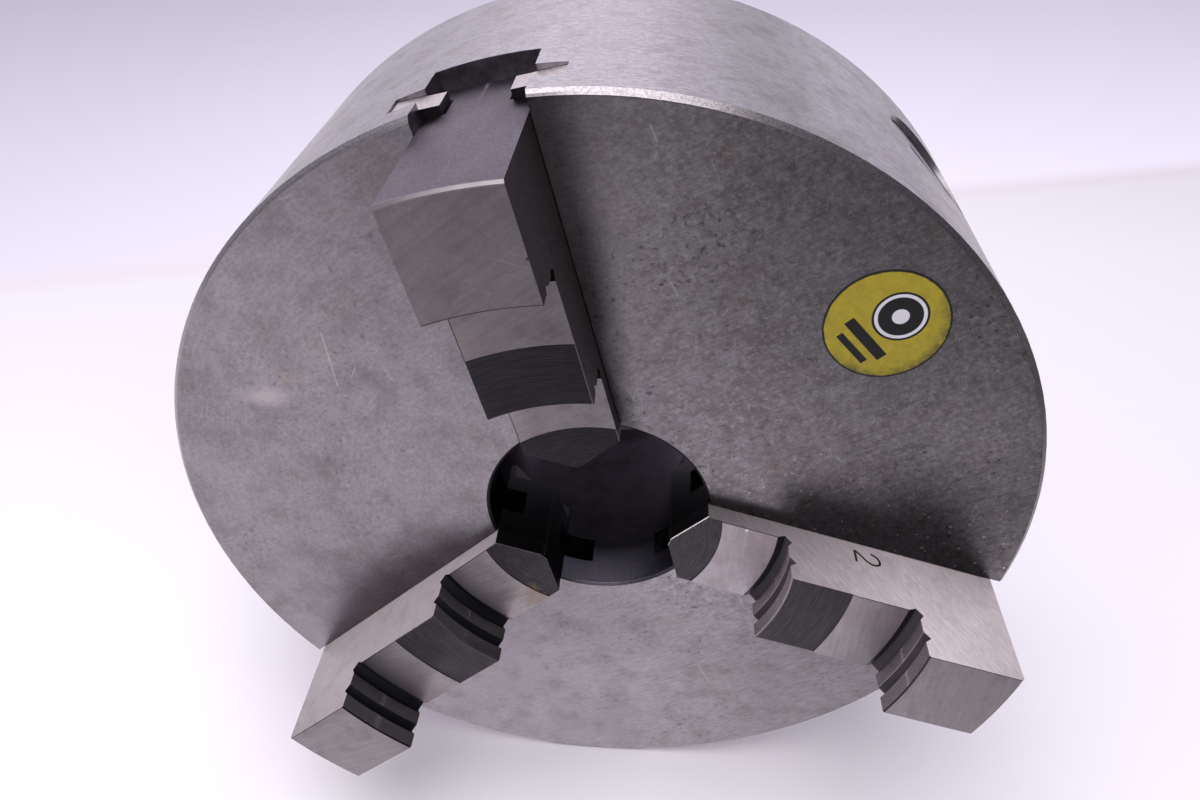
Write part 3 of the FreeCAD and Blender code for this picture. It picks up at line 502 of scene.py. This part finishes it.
def jaw_steel(number, angle):
    """Hardened jaw: bright ground sides, darker ends, dull dark zones and tarnished steps."""
    s = Shader(f"jaw_steel_{number}")
    along, across = s.axes(angle)
    facing = s.vector("DOT_PRODUCT", s.normal, radial(angle))
    sideways = s.math("ABSOLUTE", s.vector("DOT_PRODUCT", s.normal, radial(angle + 90)))
    front = s.ramp(s.math("MULTIPLY", s.normal_y, -1), 0.6, 0.8)
    at_side = s.ramp(s.math("ABSOLUTE", across), JAW_HALF_WIDTH - 0.2, JAW_HALF_WIDTH - 0.1)
    side = s.math("MULTIPLY", s.ramp(sideways, 0.6, 0.8), at_side)
    rest = s.math("SUBTRACT", 1, side)

    blotch = s.noise(0.14, 5, roughness=0.66)
    fine = s.noise(1.6, 4, roughness=0.6)
    ground = s.stretched((0.22, 2.4, 2.4), 3, s.slanted(along, 53))
    colour = seat_steel(s, number, angle, across, fine, blotch)
    colour = s.mix(side, colour, side_steel(s, number, along, ground, blotch))

    # outer end: milled and dull, with a painted highlight along its front edge
    end = s.ramp(facing, 0.7, 0.85)
    end_colour = s.mix(s.ramp(fine, 0.3, 0.7), (0.132, 0.111, 0.138), (0.218, 0.182, 0.224))
    colour = s.mix(end, colour, end_colour)
    end_edge_highlight = s.math("MULTIPLY", s.ramp(s.radius, JAW_END - 0.8, JAW_END - 0.7),
                         s.ramp(s.height, BLOCK_TOP - 0.8, BLOCK_TOP - 0.7))
    colour = s.mix(end_edge_highlight, colour, (0.29, 0.265, 0.28))

    # the risers and the nose are tarnished, and their undercuts and grooves are painted black as shade
    inward = s.ramp(facing, -0.25, -0.45)
    dull = s.mix(s.ramp(fine, 0.3, 0.7), *RISER_COLOURS[number - 1])
    dull = s.mix(s.ramp(s.radius, 40, 38), dull, (0.10, 0.088, 0.093))
    colour = s.mix(inward, colour, dull)
    black = largest(s, [hollow(s, land, seat) for land, seat in JAW_STEPS])
    colour = s.mix(s.math("MULTIPLY", black, rest), colour, HOLLOW_SHADES[number - 1])

    # turned back zones inside each seat, with fine rings
    first = s.math("MULTIPLY", s.ramp(s.radius, FIRST_DARK + 0.05, FIRST_DARK - 0.05),
                   s.ramp(s.height, FIRST_SEAT - 0.8, FIRST_SEAT - 0.6))
    second = on_second_seat(s, s.ramp(s.radius, SECOND_DARK + 0.05, SECOND_DARK - 0.05))
    dark = s.math("MULTIPLY", s.math("MAXIMUM", first, second), front)
    rings = s.lathe_marks(3.0, 8, 2)
    dark_colour = s.mix(s.ramp(rings, 0.35, 0.65), (0.044, 0.041, 0.047), (0.068, 0.063, 0.071))
    dark_colour = s.vector("SCALE", dark_colour, scale=DARK_TONES[number - 1])
    colour = s.mix(dark, colour, dark_colour)
    colour = edge_lines(s, number, colour, across, front, rest, dark)

    colour = s.mix(flecks(s, 0.12, 0.35, 0.2), colour, (0.04, 0.035, 0.035))
    if number == 2:
        chip = spot(s, jaw_place(angle, 33.1, -10.2, FIRST_SEAT), 0.45, 0.1)
        colour = s.mix(chip, colour, (0.9, 0.88, 0.88))
    if number == 3:
        rusty = s.math("MULTIPLY", spot(s, jaw_place(angle, 30.5, -7.5, 4.6), 4.6, 0.8),
                       s.ramp(s.noise(1.3, 4, roughness=0.7), 0.44, 0.60, 0.1, 0.8))
        colour = s.mix(rusty, colour, (0.36, 0.235, 0.13))

    lines = largest(s, (scratches(s, 0.69, (0, -angle + 30, 0)),
                        scratches(s, 0.71, (35, -angle, 0))))
    clean = s.math("SUBTRACT", 1, largest(s, (end, dark, black, inward)))
    lines = s.math("MULTIPLY", lines, clean)
    colour = s.mix(s.math("MULTIPLY", lines, 0.13), colour, (0.60, 0.55, 0.57))

    # below the face the jaw is black with oil and painted shade
    below = s.math("MULTIPLY", s.ramp(s.height, 0.3, -0.3), s.ramp(s.radius, 95.5, 94.5))
    colour = s.mix(below, colour, (0.06, 0.056, 0.06))

    # the nose's front edge is painted with its light: a bright highlight on jaw 2, dim on jaw 3 and
    # dark on jaw 1; it isn't metallic here, so that its brightness holds
    start = NOSE_EDGE_STARTS[number - 1]
    nose_edge_light = s.math("MULTIPLY", s.ramp(s.height, start, start + 0.1),
                       s.ramp(s.radius, FIRST_DARK - 0.1, FIRST_DARK - 0.2))
    nose_edge_light = s.math("MULTIPLY", nose_edge_light, s.math("MULTIPLY", rest, s.math("SUBTRACT", 1, front)))
    colour = s.mix(nose_edge_light, colour, NOSE_EDGE_LIGHTS[number - 1])
    s.join(s.math("SUBTRACT", 1, nose_edge_light), s.surface.inputs["Metallic"])

    across_marks = 0.6 * Vector((0, -1, 0)) - 0.8 * radial(angle)
    s.lay(0.9, s.mix_vectors(side, radial(angle), across_marks))
    rough = s.math("MULTIPLY_ADD", side, 0.12, s.ramp(blotch, 0.3, 0.7, 0.38, 0.48))
    return s.finish(colour, rough, s.math("ADD", ground, fine), 0.08)


def jaw_place(angle, along, across, height):
    """A place on a jaw, in mm: out along it, to its clockwise side, and forward of the face."""
    place = radial(angle) * along + radial(angle + 90) * across
    return place + Vector((0, FACE_Y / MM - height, 0))


def strip_steel():
    """Guide strips: their cut ends are light, the rest is dark with oil and painted shade."""
    s = Shader("strip_steel")
    fine = s.noise(1.4, 4, roughness=0.6)
    end = s.ramp(s.radius, 97.4, 97.6)
    outer = s.ramp(s.vector("DOT_PRODUCT", s.normal, s.outwards), 0.8, 0.9)
    colour = s.mix(s.ramp(fine, 0.3, 0.7), (0.52, 0.46, 0.48), (0.70, 0.63, 0.655))
    # the sides are dark with oil and painted shade
    oil_and_shade = s.mix(s.ramp(fine, 0.3, 0.7), (0.045, 0.042, 0.045), (0.08, 0.075, 0.08))
    colour = s.mix(s.math("MULTIPLY", end, outer), oil_and_shade, colour)
    seams = [s.ramp(s.height, STRIP_BACK + 0.2, STRIP_BACK + 0.1)]
    for angle in JAW_ANGLES:
        along, across = s.axes(angle)
        near_groove = s.ramp(s.math("ABSOLUTE", across), STRIP_HALF_WIDTH - 0.3, STRIP_HALF_WIDTH - 0.2)
        seams.append(s.math("MULTIPLY", near_groove, s.ramp(along, 89, 90)))
    colour = s.mix(largest(s, seams), colour, (0.03, 0.027, 0.03))
    return s.finish(colour, s.ramp(fine, 0.3, 0.7, 0.4, 0.5), fine, 0.1)


def badge_enamel():
    """Yellow enamel with a dark border and grime at its edge, and a plain device: a dot over bars."""
    s = Shader("badge_enamel", metallic=0.0)
    from_centre = s.vector("SUBTRACT", s.place, BADGE_CENTRE / MM)
    out = s.vector("DOT_PRODUCT", from_centre, radial(BADGE_ANGLE))
    aside = s.vector("DOT_PRODUCT", from_centre, radial(BADGE_ANGLE + 90))
    away = s.vector("LENGTH", s.node("ShaderNodeCombineXYZ", X=out, Y=aside).outputs[0])
    grime = s.noise(0.5, 5, roughness=0.7)
    colour = s.mix(s.ramp(grime, 0.38, 0.7, 0, 0.6), (0.335, 0.265, 0.003), (0.17, 0.13, 0.008))
    black, white = (0.006, 0.006, 0.007), (0.55, 0.53, 0.58)

    def disc(out_by, radius):
        beside = s.node("ShaderNodeCombineXYZ", X=s.math("SUBTRACT", out, out_by), Y=aside).outputs[0]
        return s.ramp(s.vector("LENGTH", beside), radius - 0.05, radius + 0.05, 1, 0)

    def bar(out_by, length, thickness):
        across = s.ramp(s.math("ABSOLUTE", aside), length / 2 - 0.05, length / 2 + 0.05, 1, 0)
        gap = s.math("ABSOLUTE", s.math("SUBTRACT", out, out_by))
        return s.math("MULTIPLY", across, s.ramp(gap, thickness / 2 - 0.05, thickness / 2 + 0.05, 1, 0))

    for radius, paint in ((5.6, black), (5.1, white), (4.4, black), (1.7, white)):
        colour = s.mix(disc(3.2, radius), colour, paint)
    for out_by, length, thickness in ((-4.9, 11.5, 2.3), (-8.2, 8.6, 1.5)):
        colour = s.mix(bar(out_by, length, thickness), colour, black)
    to_lower_right = s.vector("DOT_PRODUCT", from_centre, (0.6, 0, -0.8))
    lower_edge = s.math("MULTIPLY", s.ramp(away, 9.8, 12.0), s.ramp(to_lower_right, -2, 5))
    grimy = s.math("MULTIPLY", lower_edge, s.ramp(grime, 0.3, 0.6, 0.2, 0.85))
    colour = s.mix(grimy, colour, (0.05, 0.04, 0.01))
    border = s.ramp(s.math("MULTIPLY_ADD", grime, 0.4, away), 12.2, 12.4)
    colour = s.mix(border, colour, (0.012, 0.011, 0.009))
    return s.finish(colour, s.ramp(grime, 0.3, 0.7, 0.35, 0.5), grime, 0.05)


def cover(node, material):
    """Give every slot of a CAD node the material."""
    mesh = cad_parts[node].data
    mesh.materials.clear()
    mesh.materials.append(material)


def dress_nodes():
    starts = {
        "chuck_body": body_iron(),
        "back_cover": plain_steel("cover_iron", (0.26, 0.255, 0.265), (0.33, 0.32, 0.33), 0.4),
        "scroll_plate": plain_steel("scroll_steel", (0.12, 0.115, 0.12), (0.20, 0.19, 0.20), 0.35),
        "badge_plate": badge_enamel(),
        "cover_screw": plain_steel("screw_steel", (0.03, 0.03, 0.032), (0.06, 0.06, 0.06), 0.4),
        "pinion_": plain_steel("pinion_steel", (0.30, 0.28, 0.29), (0.40, 0.38, 0.39)),
        "guide_strip": strip_steel(),
    }
    starts["pinion_retaining"] = starts["cover_screw"]
    for number, angle in enumerate(JAW_ANGLES, start=1):
        starts[f"jaw_{number}"] = jaw_steel(number, angle)
    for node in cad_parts:
        start = max((start for start in starts if node.startswith(start)), key=len)
        cover(node, starts[start])


# ---------------------------------------------------------------- stamped jaw numbers
DIGIT_STROKES = {                         # x to the right and y up, in a digit's height
    1: (((0.05, 0.75), (0.30, 1.0)), ((0.30, 1.0), (0.30, 0.0))),
    2: (((0.0, 0.72), (0.06, 1.0), (0.5, 1.12), (0.62, 0.72), (0.45, 0.45), (0.15, 0.2), (0.0, 0.0)),
        ((0.0, 0.0), (0.62, 0.0))),
    3: (((0.0, 0.85), (0.15, 1.08), (0.6, 1.0), (0.6, 0.6), (0.22, 0.54)),
        ((0.22, 0.54), (0.68, 0.5), (0.65, 0.0), (0.15, -0.08), (0.0, 0.18))),
}
DIGIT_HEIGHT = 5.7 * MM
DIGIT_LINE = 0.29 * MM                    # half the width of a stamped line
DIGIT_FLATNESS = 0.12                     # how much of the line's thickness is kept
DIGIT_ALONG, DIGIT_UP = 60, 2.4           # mm out along the jaw, and forward of the face


def stamp_number(number, angle, material):
    """The jaw's number, stamped in the side that faces anticlockwise, its top outwards."""
    curve = bpy.data.curves.new(f"stroke_{number}", "CURVE")
    curve.dimensions = "3D"
    curve.bevel_depth, curve.bevel_resolution, curve.resolution_u = DIGIT_LINE, 2, 8
    for points in DIGIT_STROKES[number]:
        spline = curve.splines.new("NURBS")
        spline.points.add(len(points) - 1)
        for point, (x, y) in zip(spline.points, points):
            point.co = (x * DIGIT_HEIGHT, y * DIGIT_HEIGHT, 0, 1)
        spline.order_u = min(3, len(points))
        spline.use_endpoint_u = True
    drawn = bpy.data.objects.new(f"stroke_{number}", curve)
    bpy.context.collection.objects.link(drawn)
    bpy.context.view_layer.update()
    mesh = bpy.data.meshes.new_from_object(drawn)
    bpy.data.objects.remove(drawn)
    outward, forward, normal = radial(angle), Vector((0, -1, 0)), -radial(angle + 90)
    place = jaw_place(angle, DIGIT_ALONG, -JAW_HALF_WIDTH, DIGIT_UP) * MM
    lying = Matrix((forward, outward, normal * DIGIT_FLATNESS)).transposed().to_4x4()
    mesh.transform(Matrix.Translation(place) @ lying)
    mesh.materials.clear()
    mesh.materials.append(material)
    stamp = bpy.data.objects.new(f"jaw_{number}_number", mesh)
    bpy.context.collection.objects.link(stamp)
    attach(stamp, f"jaw_{number}")


def stamp_numbers():
    s = Shader("stamped_line")
    fine = s.noise(3.0, 3)
    material = s.finish(s.mix(s.ramp(fine, 0.3, 0.7), (0.03, 0.028, 0.03), (0.07, 0.065, 0.068)),
                        s.ramp(fine, 0.3, 0.7, 0.5, 0.6))
    for number, angle in enumerate(JAW_ANGLES, start=1):
        stamp_number(number, angle, material)


# ---------------------------------------------------------------- camera, lights and floor
CAMERA_PLACE = (0.0109, -0.2326, 0.1536)
CAMERA_TURN = (52.6, -0.36, 4.17)         # degrees about X, Y and Z
CAMERA_LENS, SENSOR_WIDTH = 27.69, 36     # mm
CHUCK_CENTRE = (0, -0.1, 0)
FLOOR_SIZE, CARD_SIZE = 8, 3              # sides of the table and of the mirrored one, in m
CARD_LIFT = 1 * MM                        # how far the mirrored table lies above the table
TABLE_EDGE = 274                          # how far behind the chuck the table ends, in mm


def make_camera():
    data = bpy.data.cameras.new("camera")
    data.lens, data.sensor_width = CAMERA_LENS, SENSOR_WIDTH
    camera = bpy.data.objects.new("camera", data)
    camera.location = CAMERA_PLACE
    camera.rotation_euler = Euler([math.radians(a) for a in CAMERA_TURN])
    data.clip_start = 0.005
    bpy.context.collection.objects.link(camera)
    bpy.context.scene.camera = camera


def add_light(name, place, target, size, power, colour=(1, 1, 1)):
    data = bpy.data.lights.new(name, "AREA")
    data.shape, data.size, data.energy, data.color = "DISK", size, power, colour
    light = bpy.data.objects.new(name, data)
    light.location = place
    light.rotation_euler = (Vector(target) - Vector(place)).to_track_quat("-Z", "Y").to_euler()
    bpy.context.collection.objects.link(light)
    return light


def shade_by(tree, place, direction, *stops):
    """A straight blend along a direction, between two (position, colour) stops."""
    along = tree.nodes.new("ShaderNodeVectorMath")
    along.operation = "DOT_PRODUCT"
    along.inputs[1].default_value = direction
    shade = tree.nodes.new("ShaderNodeValToRGB")
    for stop, (position, colour) in zip(shade.color_ramp.elements, stops):
        stop.position, stop.color = position, (*colour, 1)
    tree.links.new(place, along.inputs[0])
    tree.links.new(along.outputs["Value"], shade.inputs[0])
    return shade.outputs[0]


def make_reflection_card():
    """What the metal mirrors in front of it: a pale table that turns dark to the right."""
    mesh = bpy.data.meshes.new("reflection_card")
    half = CARD_SIZE / 2
    corners = ((-half, -half), (half, -half), (half, half), (-half, half))
    mesh.from_pydata([(x, y, FLOOR_Z + CARD_LIFT) for x, y in corners], [], [(0, 1, 2, 3)])
    card = bpy.data.objects.new("reflection_card", mesh)
    bpy.context.collection.objects.link(card)
    for ray in ("camera", "diffuse", "transmission", "volume_scatter", "shadow"):
        setattr(card, "visible_" + ray, False)
    material = bpy.data.materials.new("reflected_table")
    material.use_nodes = True
    tree = material.node_tree
    tree.nodes.remove(tree.nodes["Principled BSDF"])
    place = tree.nodes.new("ShaderNodeTexCoord").outputs["Object"]
    shade = shade_by(tree, place, (0.77, -0.64, 0), (0.08, (1.25, 1.18, 1.27)),
                     (0.32, (0.12, 0.12, 0.12)))
    glow = tree.nodes.new("ShaderNodeEmission")
    tree.links.new(shade, glow.inputs[0])
    tree.links.new(glow.outputs[0], tree.nodes["Material Output"].inputs[0])
    mesh.materials.append(material)


def pale_floor():
    """A white table with painted shade to the right, and a painted band of shadow where it ends at a
    lilac backdrop.
    """
    s = Shader("pale_floor", metallic=0.0)
    beyond = s.math("MULTIPLY_ADD", s.x, -0.3, s.math("SUBTRACT", s.y, TABLE_EDGE))
    # painted shade on the table to the right
    right_shade = s.math("MULTIPLY", s.ramp(s.x, 20, 200), s.ramp(s.y, 260, 60))
    colour = s.mix(right_shade, (0.74, 0.712, 0.765), (0.675, 0.645, 0.715))
    backdrop = s.mix(s.ramp(s.x, -400, 450), (0.715, 0.68, 0.785), (0.865, 0.825, 0.95))
    # a painted band of shadow along the table's far edge
    colour = s.mix(s.ramp(beyond, -14, 2), colour, (0.74, 0.675, 0.735))
    colour = s.mix(s.ramp(beyond, 0, 20), colour, backdrop)
    s.surface.inputs["Specular IOR Level"].default_value = 0
    return s.finish(colour, 1.0)


def make_stage():
    bpy.ops.mesh.primitive_plane_add(size=FLOOR_SIZE, location=(0, 0, FLOOR_Z))
    floor = bpy.context.object
    floor.name = "floor"
    floor.data.materials.append(pale_floor())
    world = bpy.data.worlds.new("studio")
    world.use_nodes = True
    tree = world.node_tree
    sky = tree.nodes["Background"]
    direction = tree.nodes.new("ShaderNodeTexCoord").outputs["Generated"]
    shade = shade_by(tree, direction, (-0.35, 0.75, 0.45), (0.0, (0.10, 0.10, 0.11)),
                     (0.6, (0.90, 0.87, 0.96)))
    tree.links.new(shade, sky.inputs["Color"])
    sky.inputs["Strength"].default_value = 1.0
    bpy.context.scene.world = world
    add_light("overhead", (-0.12, -0.18, 0.85), CHUCK_CENTRE, 0.9, 8.5, (1, 0.97, 0.98))
    fill = add_light("fill", (0.45, -0.65, 0.6), (0, -0.1, -0.1), 0.9, 5.0)
    fill.visible_glossy = False            # it only softens the shadows on the floor
    make_reflection_card()
    bpy.context.scene.view_settings.view_transform = "Standard"


make_camera()
dress_nodes()
stamp_numbers()
make_stage()
